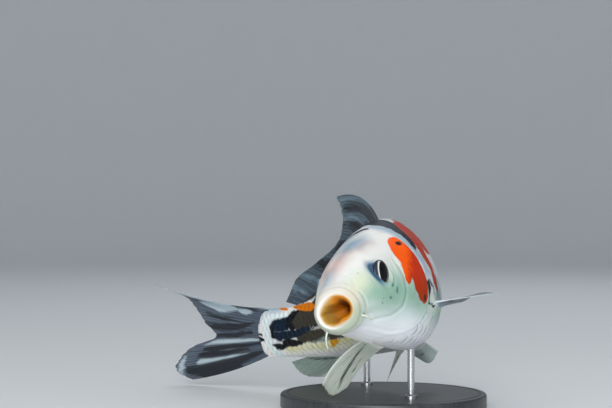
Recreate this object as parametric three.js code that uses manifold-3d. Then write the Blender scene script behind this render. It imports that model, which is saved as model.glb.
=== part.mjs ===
// A young koi carp as a life-size display model, turning to its right with its mouth open,
// carried on a round base by two short rods.
// Millimetres, +Z up. The origin is the centre of the underside of the base.
//
// The fish is described straight: s runs from the snout to the tail, left is toward its left side
// and up is toward its back. A bent spine then carries every point to its place.
import * as THREE from 'three';
import { mergeVertices } from 'three/addons/utils/BufferGeometryUtils.js';
import Module from 'manifold-3d';

const wasm = await Module();
wasm.setup();

const gap = 0.3;

// Where s = 0 is, and how the body turns along its length
const snout = [-21.8, -83.2, 50.6];
// s, then yaw, pitch and roll in degrees
const spinePose = [
  [18, -26.3, 0.5, 19.6],
  [36, -26.3, 0.5, 20.8],
  [72, -4.7, -2.7, 13.8],
  [108, 29.4, -20.1, 9.0],
  [144, 49.2, -16.2, 9.0],
  [180, 60.3, -1.5, 9.3],
  [234, 82.4, -0.9, 9.3],
];
const spineFrom = -30;
const spineTo = 240;

// s, then the height of the back, of the widest place and of the belly, and the half width
const sections = [
  [-4.6, 1.6, -4.7, -11.0, 7.2],
  [-3.6, 2.9, -4.7, -12.2, 8.7],
  [-1, 4.2, -4.6, -13.2, 9.9],
  [3, 7.4, -3.8, -13.7, 11.5],
  [8, 11.6, -2.6, -14.4, 13.2],
  [14.5, 16.0, -1.4, -15.9, 14.9],
  [25, 20.7, -0.4, -18.5, 16.5],
  [36, 24.8, 0, -21.1, 17.6],
  [49, 28.4, 0, -23.7, 18.6],
  [65, 30.4, 0, -25.6, 19.1],
  [83, 31.0, 0, -25.8, 18.2],
  [101, 29.3, 0, -24.3, 15.8],
  [119, 24.5, 0, -21.1, 12.6],
  [137, 17.8, 0, -16.9, 9.4],
  [155, 12.8, 0, -13.0, 6.6],
  [169, 12.4, 0, -11.5, 4.5],
  [182, 12.6, 0, -12.2, 2.2],
];
const aroundBody = 24;
const ringStep = 4.5;
// Above 1, the head's rings crowd toward the mouth
const headCrowding = 1.5;

// The body is cut into lengths at these places
const lengths = [
  ['head', -4.6, 47],
  ['trunk_front', 47, 80],
  ['trunk_middle', 80, 113],
  ['trunk_rear', 113, 146],
  ['tail_stem', 146, 182],
];

const mouth = { s: -4.2, up: -4.7, reach: 15, halfWidth: 6.6, halfHeight: 5.5 };
// An eye is a flattened ball that looks outward, a little forward and up, turned in degrees
const eye = { s: 17.4, left: 12.9, up: 5.4, long: 4.4, high: 4.9, depth: 1.7, forwardTurn: 14, upTurn: -6 };

// A fin spreads from its root line (s, left, up) along rays (back, left, up), bowed at their middle
const rootThickness = 1.6;
const edgeThickness = 0.8;
const rootDepth = 0.12;
const fins = {
  dorsal_fin: {
    grid: [16, 6],
    root: [
      [82, 0, 29.7], [97.4, 0, 28.4], [111.8, 0, 25.2],
      [126.2, 0, 20.5], [140.6, 0, 15.4], [155, 0, 11.5],
    ],
    rays: [
      [20.4, -13.2, 16.8], [13.4, -4.4, 10.2], [9, 0.2, 7.2],
      [11.4, -0.4, 7.6], [11.6, 1.6, 9.2], [9.6, 3.4, 3],
    ],
    bow: [[-2, 2.6, 4.2], [-1.2, 0.8, 2], [-0.6, 0, 0.6], [0, 0, 0], [0, 0, 0], [0, 0, 0]],
  },
  anal_fin: {
    grid: [7, 5],
    root: [[137, 0, -15.5], [145, 0, -13.5], [153, 0, -11.5]],
    rays: [[18, 0, -6.3], [17.9, -2.1, -5.3], [15.4, 0, -1.2]],
    bow: [[0, 0, -1], [0, 0, 0]],
  },
  caudal_fin_upper: {
    grid: [8, 10],
    root: [[180, 0, 12], [180, 0, 0.15]],
    rays: [[54.2, -6.2, 13.4], [41.2, -0.8, 9.4], [35.1, -1, 7.1], [30.2, -1.6, 2.8], [25.3, -0.8, -1.7]],
    bow: [[0, 0, -2], [0, 0, 0]],
  },
  caudal_fin_lower: {
    grid: [8, 10],
    root: [[180, 0, -0.15], [180, 0, -11.6]],
    rays: [[25.3, -0.8, -1.7], [37, -3.3, -3], [44.8, -4.9, -6.2], [46.5, -5.8, -8.9], [40.4, -2.3, -10.7]],
    bow: [[0, 0, 0], [0, 0, -1.5]],
  },
  pectoral_fin_left: {
    grid: [6, 7],
    root: [[50, 16.2, -9.6], [56, 15.6, -12.2]],
    rays: [[24.8, 21.5, -4.2], [25.5, 14.7, -0.3], [19.9, 8.6, 0]],
    bow: [[0, 1, 0], [0, 0, 0]],
  },
  pectoral_fin_right: {
    grid: [6, 7],
    root: [[50, -13.5, -15], [54, -8.4, -20.5]],
    rays: [[9, -28.5, -13.1], [5.6, -27.3, -16.1], [3.3, -21.9, -12.2]],
    bow: [[0, -2, 2], [0, -1, 1]],
  },
  pelvic_fin_left: {
    grid: [5, 5],
    root: [[85, 8, -23.6], [89, 3, -25.2]],
    rays: [[21.3, 9.6, -4.9], [19.8, 7.9, -8], [14.9, 4, -2.4]],
    bow: [[0, 0, 0], [0, 0, 0]],
  },
  pelvic_fin_right: {
    grid: [5, 5],
    root: [[85, -4.4, -24.8], [89, -1.4, -25.4]],
    rays: [[21.6, -3.2, -11.4], [21, -2.2, -8.7], [15.1, -0.6, -4.1]],
    bow: [[0, 0, 0], [0, 0, 0]],
  },
};

// A barbel is a tapered feeler along points (s, left, up)
const barbels = {
  barbel_left: [[-1, 8, -9.2], [1.4, 10.5, -11.4], [3.8, 11.3, -13.3]],
  barbel_right: [[-2, -6, -10], [-3, -7.6, -13.4], [-2, -8.6, -17.2]],
  upper_barbel_left: [[0.2, 8.4, 1.6], [0.9, 10.2, -0.2], [1.5, 11.2, -2.4]],
  upper_barbel_right: [[0.2, -8.4, 1.6], [0.9, -10.2, -0.2], [1.5, -11.2, -2.4]],
};
const barbelRoot = 0.7;
const barbelTip = 0.4;

const baseRadius = 44;
const baseThickness = 6;
const baseEdge = 1;
const rodRadius = 1.5;
const rodPlug = 5;
const rodSocket = 3;
const rodPlaces = { front: 68, rear: 126 };

// Smooth curve through the rows of a table whose first column is the position
function between(table, at) {
  const last = table.length - 1;
  const x = Math.min(Math.max(at, table[0][0]), table[last][0]);
  let i = 0;
  while (i < last - 1 && x > table[i + 1][0]) i += 1;
  const slope = (row, column) => {
    const before = table[Math.max(row - 1, 0)];
    const after = table[Math.min(row + 1, last)];
    return (after[column] - before[column]) / (after[0] - before[0]);
  };
  const span = table[i + 1][0] - table[i][0];
  const f = (x - table[i][0]) / span;
  const blend = 3 * f ** 2 - 2 * f ** 3;
  return table[i].slice(1).map((value, k) => {
    const leaving = slope(i, k + 1) * span * (f - 2 * f ** 2 + f ** 3);
    const arriving = slope(i + 1, k + 1) * span * (f ** 3 - f ** 2);
    return value + (table[i + 1][k + 1] - value) * blend + leaving + arriving;
  });
}

// The same curve through evenly spaced rows, from 0 to 1
function along(rows, at) {
  return between(rows.map((row, i) => [i / (rows.length - 1), ...row]), at);
}

// Directions back, left and up at s
function turned(s) {
  const [yaw, pitch, roll] = between(spinePose, s).map(THREE.MathUtils.degToRad);
  const back = new THREE.Vector3(0, 1, 0).applyEuler(new THREE.Euler(pitch, 0, yaw, 'ZYX'));
  const level = new THREE.Vector3(0, 0, -1).cross(back).normalize();
  const upright = level.clone().cross(back);
  const left = level.clone().multiplyScalar(Math.cos(roll)).addScaledVector(upright, Math.sin(roll));
  const up = upright.multiplyScalar(Math.cos(roll)).addScaledVector(level, -Math.sin(roll));
  return { back, left, up };
}

// The spine as one point per millimetre, moved so that s = 0 is at the snout
const spine = [new THREE.Vector3()];
for (let s = spineFrom; s < spineTo; s += 1) {
  spine.push(spine.at(-1).clone().add(turned(s + 0.5).back));
}
const shift = new THREE.Vector3(...snout).sub(spine[-spineFrom]);
spine.forEach((point) => point.add(shift));

// The real place of a point of the straight fish, with an offset (back, left, up) from it
function place(s, left, up, offset = [0, 0, 0]) {
  const i = Math.floor(s) - spineFrom;
  const axes = turned(s);
  return spine[i].clone().lerp(spine[i + 1], s - Math.floor(s))
    .addScaledVector(axes.back, offset[0])
    .addScaledVector(axes.left, left + offset[1])
    .addScaledVector(axes.up, up + offset[2]);
}

// A geometry with its vertices moved, as one welded closed surface
function reshaped(geometry, move) {
  const position = geometry.getAttribute('position');
  const vertex = new THREE.Vector3();
  for (let i = 0; i < position.count; i += 1) {
    const moved = move(vertex.fromBufferAttribute(position, i));
    position.setXYZ(i, moved.x, moved.y, moved.z);
  }
  geometry.deleteAttribute('normal');
  geometry.deleteAttribute('uv');
  return mergeVertices(geometry, 1e-4);
}

function toSolid(geometry) {
  return new wasm.Manifold(new wasm.Mesh({
    numProp: 3,
    vertProperties: new Float32Array(geometry.getAttribute('position').array),
    triVerts: new Uint32Array(geometry.index.array),
  }));
}

function toGeometry(solid) {
  const mesh = solid.getMesh();
  const geometry = new THREE.BufferGeometry();
  geometry.setAttribute('position', new THREE.BufferAttribute(mesh.vertProperties, 3));
  geometry.setIndex(new THREE.BufferAttribute(mesh.triVerts, 1));
  geometry.computeVertexNormals();
  return geometry;
}

// The body between two places, made thicker all round by grow
function bodyLength(from, to, crowding = 1, grow = 0) {
  const rings = Math.ceil((to - from) / ringStep);
  const shape = new THREE.CylinderGeometry(1, 1, 1, aroundBody, rings);
  return toSolid(reshaped(shape, (point) => {
    const s = from + (point.y + 0.5) ** crowding * (to - from);
    const [back, middle, belly, halfWidth] = between(sections, s);
    const height = (point.z > 0 ? back - middle : middle - belly) + grow;
    return place(s, point.x * (halfWidth + grow), middle + point.z * height);
  }));
}

function mouthHollow() {
  const shape = new THREE.SphereGeometry(1, 20, 12);
  return toSolid(reshaped(shape, (point) => place(
    mouth.s + point.y * mouth.reach,
    point.x * mouth.halfWidth,
    mouth.up + point.z * mouth.halfHeight,
  )));
}

// The eye on one side, 1 for left and -1 for right, made larger all round by grow
function eyeball(side, grow = 0) {
  const shape = new THREE.SphereGeometry(1, 20, 12);
  shape.rotateX(Math.PI / 2);
  shape.scale(eye.long + grow, eye.high + grow, eye.depth + grow);
  shape.rotateX(THREE.MathUtils.degToRad(-eye.upTurn));
  shape.rotateY(THREE.MathUtils.degToRad(-eye.forwardTurn * side));
  return toSolid(reshaped(shape, (point) => place(
    eye.s + point.x * side,
    side * (eye.left + point.z),
    eye.up + point.y,
  )));
}

// A point of a fin's middle sheet, u along its root and v outward
function finPoint(fin, u, v) {
  const [s, left, up] = along(fin.root, u);
  const ray = along(fin.rays, u);
  const bow = along(fin.bow, u);
  return place(s, left, up, ray.map((value, i) => value * v + bow[i] * 4 * v * (1 - v)));
}

function finSolid(fin) {
  const shape = new THREE.BoxGeometry(1, 1, 1, fin.grid[0], fin.grid[1], 1);
  const step = 0.01;
  return toSolid(reshaped(shape, (point) => {
    const u = point.x + 0.5;
    const v = (point.y + 0.5) * (1 + rootDepth) - rootDepth;
    const middle = finPoint(fin, u, v);
    const alongRoot = finPoint(fin, Math.min(u + step, 1), v).sub(finPoint(fin, Math.max(u - step, 0), v));
    const outward = finPoint(fin, u, v + step).sub(middle);
    const thickness = THREE.MathUtils.lerp(rootThickness, edgeThickness, Math.max(v, 0));
    return middle.addScaledVector(alongRoot.cross(outward).normalize(), point.z * thickness);
  }));
}

function barbelSolid(points) {
  const curve = new THREE.CatmullRomCurve3(points.map((point) => place(...point)));
  const rings = 6;
  const frames = curve.computeFrenetFrames(rings);
  const shape = new THREE.CylinderGeometry(1, 1, 1, 8, rings);
  return toSolid(reshaped(shape, (point) => {
    const f = point.y + 0.5;
    const ring = Math.round(f * rings);
    const radius = THREE.MathUtils.lerp(barbelRoot, barbelTip, f);
    return curve.getPointAt(f)
      .addScaledVector(frames.normals[ring], point.z * radius)
      .addScaledVector(frames.binormals[ring], point.x * radius);
  }));
}

// An upright rod from the base's socket to its plug in the belly, made larger all round by grow
function rod(s, grow = 0) {
  const belly = place(s, 0, between(sections, s)[2]);
  const bottom = baseThickness - rodSocket - grow;
  const top = belly.z + rodPlug + grow;
  const shape = new THREE.CylinderGeometry(rodRadius + grow, rodRadius + grow, top - bottom, 24);
  shape.rotateX(Math.PI / 2);
  return toSolid(reshaped(shape, (point) => point.add(
    new THREE.Vector3(belly.x, belly.y, (top + bottom) / 2),
  )));
}

function base() {
  const profile = [
    [0, 0],
    [baseRadius - baseEdge / 2, 0],
    [baseRadius, baseEdge / 2],
    [baseRadius, baseThickness - baseEdge],
    [baseRadius - baseEdge, baseThickness],
    [0, baseThickness],
  ].map(([radius, height]) => new THREE.Vector2(radius, height));
  const shape = new THREE.LatheGeometry(profile, 48);
  shape.rotateX(Math.PI / 2);
  return toSolid(reshaped(shape, (point) => point));
}

const looks = {
  skin: new THREE.MeshStandardMaterial({ color: 0xe9e7e2, roughness: 0.3, metalness: 0 }),
  fin: new THREE.MeshStandardMaterial({ color: 0xaab4bf, roughness: 0.4, metalness: 0 }),
  eye: new THREE.MeshStandardMaterial({ color: 0x15161a, roughness: 0.08, metalness: 0 }),
  base: new THREE.MeshStandardMaterial({ color: 0x2b2d30, roughness: 0.5, metalness: 0 }),
  steel: new THREE.MeshStandardMaterial({ color: 0xb9bcbf, roughness: 0.3, metalness: 1 }),
};

const koi = new THREE.Group();

function add(name, solid, look) {
  const mesh = new THREE.Mesh(toGeometry(solid), look.clone());
  mesh.name = name;
  koi.add(mesh);
}

const rodSockets = Object.values(rodPlaces).map((s) => rod(s, gap));

lengths.forEach(([name, from, to], i) => {
  const start = i === 0 ? from : from + gap / 2;
  const end = i === lengths.length - 1 ? to : to - gap / 2;
  let solid = bodyLength(start, end, name === 'head' ? headCrowding : 1);
  rodSockets.forEach((socket) => {
    solid = solid.subtract(socket);
  });
  if (name === 'head') {
    solid = solid.subtract(mouthHollow());
    [1, -1].forEach((side) => {
      solid = solid.subtract(eyeball(side, gap));
    });
  }
  add(name, solid, looks.skin);
});

const firstS = lengths[0][1];
const lastS = lengths.at(-1)[2];
const bodyRoom = bodyLength(firstS, lastS + gap, headCrowding, gap);
Object.entries(fins).forEach(([name, fin]) => {
  add(name, finSolid(fin).subtract(bodyRoom), looks.fin);
});

Object.entries(barbels).forEach(([name, points]) => {
  add(name, barbelSolid(points).subtract(bodyRoom), looks.skin);
});

add('eye_left', eyeball(1), looks.eye);
add('eye_right', eyeball(-1), looks.eye);

let standBase = base();
rodSockets.forEach((socket) => {
  standBase = standBase.subtract(socket);
});
add('stand_base', standBase, looks.base);
Object.entries(rodPlaces).forEach(([name, s]) => {
  add(`stand_rod_${name}`, rod(s), looks.steel);
});

export default koi;
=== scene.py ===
import math

import bmesh
import bpy
import numpy as np
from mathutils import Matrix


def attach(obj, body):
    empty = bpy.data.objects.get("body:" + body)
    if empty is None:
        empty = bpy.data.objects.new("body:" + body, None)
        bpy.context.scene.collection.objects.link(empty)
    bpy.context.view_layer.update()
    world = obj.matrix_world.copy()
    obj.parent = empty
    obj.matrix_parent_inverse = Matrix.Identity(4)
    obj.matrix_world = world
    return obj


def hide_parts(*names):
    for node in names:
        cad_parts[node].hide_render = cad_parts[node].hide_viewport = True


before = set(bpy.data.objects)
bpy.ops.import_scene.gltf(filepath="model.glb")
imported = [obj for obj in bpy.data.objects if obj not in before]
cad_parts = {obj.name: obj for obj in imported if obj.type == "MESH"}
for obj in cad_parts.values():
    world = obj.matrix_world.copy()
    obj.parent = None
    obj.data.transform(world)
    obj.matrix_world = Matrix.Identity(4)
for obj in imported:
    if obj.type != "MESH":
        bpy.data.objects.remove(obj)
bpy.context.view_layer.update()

# A young koi carp as a display model. All fish sizes are in mm, on a straight fish:
# s runs from the snout (0) to the tail root (180), left is its left side, up is toward its back.
# A place round the body is an angle in degrees: 0 its left side, 90 its back, -90 its belly.
# The bent spine then carries every point to its real place.
mm = 0.001

fish = {
    "snout": (-21.8, -83.2, 50.6),
    "spineFrom": -30,
    "spineTo": 240,
    # s, then yaw, pitch and roll in degrees
    "spine": [
        (18, -26.3, 0.5, 19.6),
        (36, -26.3, 0.5, 20.8),
        (72, -4.7, -2.7, 13.8),
        (108, 29.4, -20.1, 9.0),
        (144, 49.2, -16.2, 9.0),
        (180, 60.3, -1.5, 9.3),
        (234, 82.4, -0.9, 9.3),
    ],
    # s, height of the back, of the widest place and of the belly, half width
    "sections": [
        (-4.6, 1.6, -4.7, -11.0, 7.2),
        (-3.6, 2.9, -4.7, -12.2, 8.7),
        (-1, 4.2, -4.6, -13.2, 9.9),
        (3, 7.4, -3.8, -13.7, 11.5),
        (8, 11.6, -2.6, -14.4, 13.2),
        (14.5, 16.0, -1.4, -15.9, 14.9),
        (25, 20.7, -0.4, -18.5, 16.5),
        (36, 24.8, 0, -21.1, 17.6),
        (49, 28.4, 0, -23.7, 18.6),
        (65, 30.4, 0, -25.6, 19.1),
        (83, 31.0, 0, -25.8, 18.2),
        (101, 29.3, 0, -24.3, 15.8),
        (119, 24.5, 0, -21.1, 12.6),
        (137, 17.8, 0, -16.9, 9.4),
        (155, 12.8, 0, -13.0, 6.6),
        (169, 12.4, 0, -11.5, 4.5),
        (182, 12.6, 0, -12.2, 2.2),
    ],
}


# Smooth curve through the rows of a table whose first column is the position
def between(table, at):
    rows = np.array(table, float)
    knots, values = rows[:, 0], rows[:, 1:]
    last = len(rows) - 1
    before = np.maximum(np.arange(last + 1) - 1, 0)
    after = np.minimum(np.arange(last + 1) + 1, last)
    slopes = (values[after] - values[before]) / (knots[after] - knots[before])[:, None]
    x = np.clip(np.asarray(at, float), knots[0], knots[-1])
    i = np.clip(np.searchsorted(knots, x, side="right") - 1, 0, last - 1)
    span = (knots[i + 1] - knots[i])[..., None]
    f = (x - knots[i])[..., None] / span
    leaving = slopes[i] * span * (f - 2 * f**2 + f**3)
    arriving = slopes[i + 1] * span * (f**3 - f**2)
    rise = (values[i + 1] - values[i]) * (3 * f**2 - 2 * f**3)
    return values[i] + rise + leaving + arriving


# The same curve through evenly spaced rows, from 0 to 1
def along(rows, at):
    return between([(i / (len(rows) - 1), *row) for i, row in enumerate(rows)], at)


def smooth(low, high, x):
    f = np.clip((x - low) / (high - low), 0, 1)
    return f * f * (3 - 2 * f)


def hump(x, middle, width):
    return np.exp(-(((x - middle) / width) ** 2))


# Directions back, left and up at s
def turned(s):
    yaw, pitch, roll = np.moveaxis(np.radians(between(fish["spine"], s)), -1, 0)
    back = np.stack([-np.sin(yaw) * np.cos(pitch), np.cos(yaw) * np.cos(pitch), np.sin(pitch)], -1)
    level = np.cross((0, 0, -1), back)
    level /= np.linalg.norm(level, axis=-1, keepdims=True)
    upright = np.cross(level, back)
    cos, sin = np.cos(roll)[..., None], np.sin(roll)[..., None]
    return back, level * cos + upright * sin, upright * cos - level * sin


spineAt = np.arange(fish["spineFrom"], fish["spineTo"] + 1)
spinePoints = np.vstack([np.zeros(3), np.cumsum(turned(spineAt[:-1] + 0.5)[0], axis=0)])
spinePoints += np.array(fish["snout"]) - spinePoints[-fish["spineFrom"]]


# Real places, in metres, of points of the straight fish, with offsets (back, left, up) from them
def place(s, left, up, offset=0):
    s, left, up = np.broadcast_arrays(*(np.asarray(x, float) for x in (s, left, up)))
    middle = np.stack([np.interp(s, spineAt, spinePoints[:, k]) for k in range(3)], -1)
    axes = turned(s)
    moves = np.stack([np.zeros_like(s), left, up], -1) + np.asarray(offset, float)
    return (middle + sum(axes[k] * moves[..., k : k + 1] for k in range(3))) * mm


# Height of the back, of the widest place and of the belly, and half width, at s
def sectionAt(s):
    return np.moveaxis(between(fish["sections"], s), -1, 0)


# The outline at s and angle: left, up, and the way out (left, up) there
def outline(s, angle, rings=None):
    back, middle, belly, halfWidth = sectionAt(s) if rings is None else np.moveaxis(rings, -1, 0)
    cos, sin = np.cos(np.radians(angle)), np.sin(np.radians(angle))
    height = np.where(sin > 0, back - middle, middle - belly)
    outLeft, outUp = cos * height, sin * halfWidth
    length = np.maximum(np.hypot(outLeft, outUp), 1e-6)
    return halfWidth * cos, middle + height * sin, outLeft / length, outUp / length


# The angle round the body of a straight point
def angleOf(s, left, up):
    back, middle, belly, halfWidth = sectionAt(s)
    height = np.where(up > middle, back - middle, middle - belly)
    return np.degrees(np.arctan2((up - middle) / height, left / halfWidth))


# Millimetres per degree round the body at s
def perDegree(s):
    back, _, belly, halfWidth = sectionAt(s)
    return np.radians((halfWidth + (back - belly) / 2) / 2)


def turnBetween(angle, other):
    return (angle - other + 180) % 360 - 180


# How far inside a stroke each point is, in mm. A stroke is a chain of (x, angle, radius)
def strokeField(x, angle, scale, stroke):
    stroke = stroke if len(stroke) > 1 else stroke * 2
    best = np.full(np.shape(x), -1e3)
    for (x0, a0, r0), (x1, a1, r1) in zip(stroke, stroke[1:]):
        across = turnBetween(angle, a0) * scale
        stepX, stepY = x1 - x0, (a1 - a0) * scale
        f = np.clip(((x - x0) * stepX + across * stepY) / np.maximum(stepX**2 + stepY**2, 1e-6), 0, 1)
        inside = r0 + (r1 - r0) * f - np.hypot(x - x0 - f * stepX, across - f * stepY)
        best = np.maximum(best, inside)
    return best


# A flat sheet from 0 to 1 both ways, or two of them joined at their edges
def gridSheet(columns, rows, twoSided=False):
    bm = bmesh.new()
    bmesh.ops.create_grid(bm, x_segments=columns, y_segments=rows, size=0.5)
    if twoSided:
        made = bmesh.ops.extrude_face_region(bm, geom=bm.faces[:])
        raised = [item for item in made["geom"] if isinstance(item, bmesh.types.BMVert)]
        bmesh.ops.translate(bm, verts=raised, vec=(0, 0, 1))
    corners = np.array([vert.co for vert in bm.verts])
    return bm, corners[:, 0] + 0.5, corners[:, 1] + 0.5, corners[:, 2]


# Moves every vertex to its place and keeps vectors and numbers on it for the materials
def settle(bm, points, vectors=None, numbers=None):
    for name, values in (vectors or {}).items():
        layer = bm.verts.layers.float_vector.new(name)
        for vert, value in zip(bm.verts, values):
            vert[layer] = value
    for name, values in (numbers or {}).items():
        layer = bm.verts.layers.float.new(name)
        for vert, value in zip(bm.verts, values):
            vert[layer] = value
    for vert, point in zip(bm.verts, points):
        vert.co = point


def bakeMap(bm, u, v):
    bm.verts.index_update()
    layer = bm.loops.layers.uv.new("OFBake")
    for face in bm.faces:
        for loop in face.loops:
            loop[layer].uv = (u[loop.vert.index], v[loop.vert.index])


def finish(name, bm, look, slot, nodes=()):
    mesh = bpy.data.meshes.new(name)
    bm.to_mesh(mesh)
    bm.free()
    mesh.shade_smooth()
    piece = bpy.data.objects.new(name, mesh)
    bpy.context.scene.collection.objects.link(piece)
    mesh.materials.append(look)
    if slot:
        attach(piece, "root")
    if nodes:
        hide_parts(*nodes)
    return piece


def numbersOf(piece, name, width=1):
    kind = "vector" if width == 3 else "value"
    found = np.zeros(len(piece.data.vertices) * width, np.float32)
    piece.data.attributes[name].data.foreach_get(kind, found)
    return found.reshape(-1, width) if width > 1 else found


def keepNumbers(piece, name, values):
    layer = piece.data.attributes.new(name, "FLOAT", "POINT")
    layer.data.foreach_set("value", np.asarray(values, np.float32))


def tone(red, greenLightCast, blue):
    parts = [c / 255 for c in (red, greenLightCast, blue)]
    return (*[c / 12.92 if c < 0.04045 else ((c + 0.055) / 1.055) ** 2.4 for c in parts], 1)


# A number output of a node: arithmetic on it adds Math nodes
class Wire:
    def __init__(self, look, socket):
        self.look, self.socket = look, socket

    def maths(self, operation, *values, clamp=False):
        settings = {"operation": operation, "use_clamp": clamp}
        return self.look.node("ShaderNodeMath", settings, dict(enumerate(values)))

    def __add__(self, other):
        return self.maths("ADD", self, other)

    __radd__ = __add__

    def __sub__(self, other):
        return self.maths("SUBTRACT", self, other)

    def __rsub__(self, other):
        return self.maths("SUBTRACT", other, self)

    def __mul__(self, other):
        return self.maths("MULTIPLY", self, other)

    __rmul__ = __mul__

    def __truediv__(self, other):
        return self.maths("DIVIDE", self, other)

    def __rtruediv__(self, other):
        return self.maths("DIVIDE", other, self)

    def __pow__(self, other):
        return self.maths("POWER", self, other)

    def __rpow__(self, other):
        return self.maths("POWER", other, self)

    def above(self, low, high):
        settings = {"interpolation_type": "SMOOTHSTEP"}
        return self.look.node("ShaderNodeMapRange", settings, {0: self, 1: low, 2: high})

    def limited(self):
        return self.maths("ADD", self, 0, clamp=True)


class Look:
    def __init__(self, name):
        self.material = bpy.data.materials.new(name)
        self.material.use_nodes = True
        self.tree = self.material.node_tree
        self.tree.nodes.clear()

    def node(self, kind, settings=None, sockets=None, output=0):
        made = self.tree.nodes.new(kind)
        for key, value in (settings or {}).items():
            setattr(made, key, value)
        for key, value in (sockets or {}).items():
            if isinstance(value, Wire):
                self.tree.links.new(value.socket, made.inputs[key])
            else:
                made.inputs[key].default_value = value
        return Wire(self, made.outputs[output]) if len(made.outputs) else None

    def number(self, name):
        return self.node("ShaderNodeAttribute", {"attribute_name": name}, output="Fac")

    def vector(self, name):
        return self.node("ShaderNodeAttribute", {"attribute_name": name}, output="Vector")

    def parts(self, vector):
        split = self.node("ShaderNodeSeparateXYZ", None, {0: vector})
        return [Wire(self, socket) for socket in split.socket.node.outputs]

    def stretched(self, vector, scale):
        return self.node("ShaderNodeVectorMath", {"operation": "MULTIPLY"}, {0: vector, 1: scale})

    def noise(self, vector, scale, detail=3.0, roughness=0.55, distortion=0.0):
        values = {"Scale": scale, "Detail": detail, "Roughness": roughness, "Distortion": distortion}
        return self.node("ShaderNodeTexNoise", None, {"Vector": vector, **values})

    def cells(self, vector, scale):
        return self.node("ShaderNodeTexVoronoi", None, {"Vector": vector, "Scale": scale})

    def mix(self, factor, first, second):
        return self.node("ShaderNodeMix", {"data_type": "RGBA"}, {0: factor, 6: first, 7: second}, 2)

    def bump(self, height, strength, distance):
        values = {"Height": height, "Strength": strength, "Distance": distance}
        return self.node("ShaderNodeBump", None, values)

    def surface(self, colour, roughness, normal=None, more=None):
        values = {"Base Color": colour, "Roughness": roughness, **(more or {})}
        if normal:
            values["Normal"] = normal
        shader = self.node("ShaderNodeBsdfPrincipled", None, values)
        self.node("ShaderNodeOutputMaterial", None, {"Surface": shader})
        return self.material


# Strokes (s, angle, radius) on the straight body. soft is how wide the edge fades, wobble how far
# it wanders, both in mm. Tints come first, marks lie over them in this order.
tints = {
    # painted light: a greenish cast of the light over the lower head and flank
    "greenLightCast": {"colour": tone(118, 166, 144), "share": 0.85, "soft": 9, "strokes": [
        [(6, 8, 6.5), (16, -12, 10), (30, -20, 10.5), (40, -32, 9)],
        [(4, -22, 4), (10, -28, 6), (22, -34, 7.5)],
        [(56, -34, 6), (90, -30, 8)],
    ]},
    "lilac": {"colour": tone(240, 244, 250), "share": 0.8, "soft": 8, "strokes": [
        [(8, -70, 7), (30, -66, 10), (60, -76, 11), (110, -80, 8)],
    ]},
    "pink": {"colour": tone(190, 150, 140), "share": 0.75, "soft": 5, "strokes": [
        [(9, 93, 3.0), (14, 87, 3.8), (18, 82, 2.8)],
        [(21, 68, 2.0), (28, 62, 2.0)],
        [(8, 112, 3), (22, 120, 4)],
    ]},
    "blue": {"colour": tone(104, 146, 172), "share": 0.8, "soft": 5, "strokes": [
        [(20, 87, 3.2), (25, 81, 5.0), (29, 72, 3.2)],
        [(30, 98, 2.4), (38, 94, 2.0)],
        [(45, 74, 2.4), (46.5, 62, 2.6), (47.4, 48, 2.2), (48.6, 36, 2.6), (50.5, 26, 3.4),
         (51.6, 18, 4.2), (51.4, 9, 3.4)],
        [(58.5, 2, 2.6), (58.5, -12, 2.4)],
        [(4, 110, 1.6), (6, 106, 1.4)],
        [(168, 100, 2.6), (182, 100, 3.6)],
        [(168, 80, 2.6), (182, 80, 3.6)],
        [(160, 176, 1.4), (170, 170, 1.4)],
    ]},
    "cream": {"colour": tone(232, 228, 190), "share": 0.5, "soft": 5, "strokes": [
        [(1.5, 36, 2.5), (6, 32, 2.5)], [(1.5, 144, 2.5), (6, 148, 2.5)],
    ]},
    "yellow": {"colour": tone(206, 204, 140), "share": 0.85, "soft": 3, "strokes": [
        [(118, 212, 2.0), (140, 214, 2.0), (152, 214, 1.8), (164, 216, 1.6)],
        [(122, -34, 2.2), (140, -36, 2.2), (162, -40, 2.0)],
    ]},
}
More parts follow.
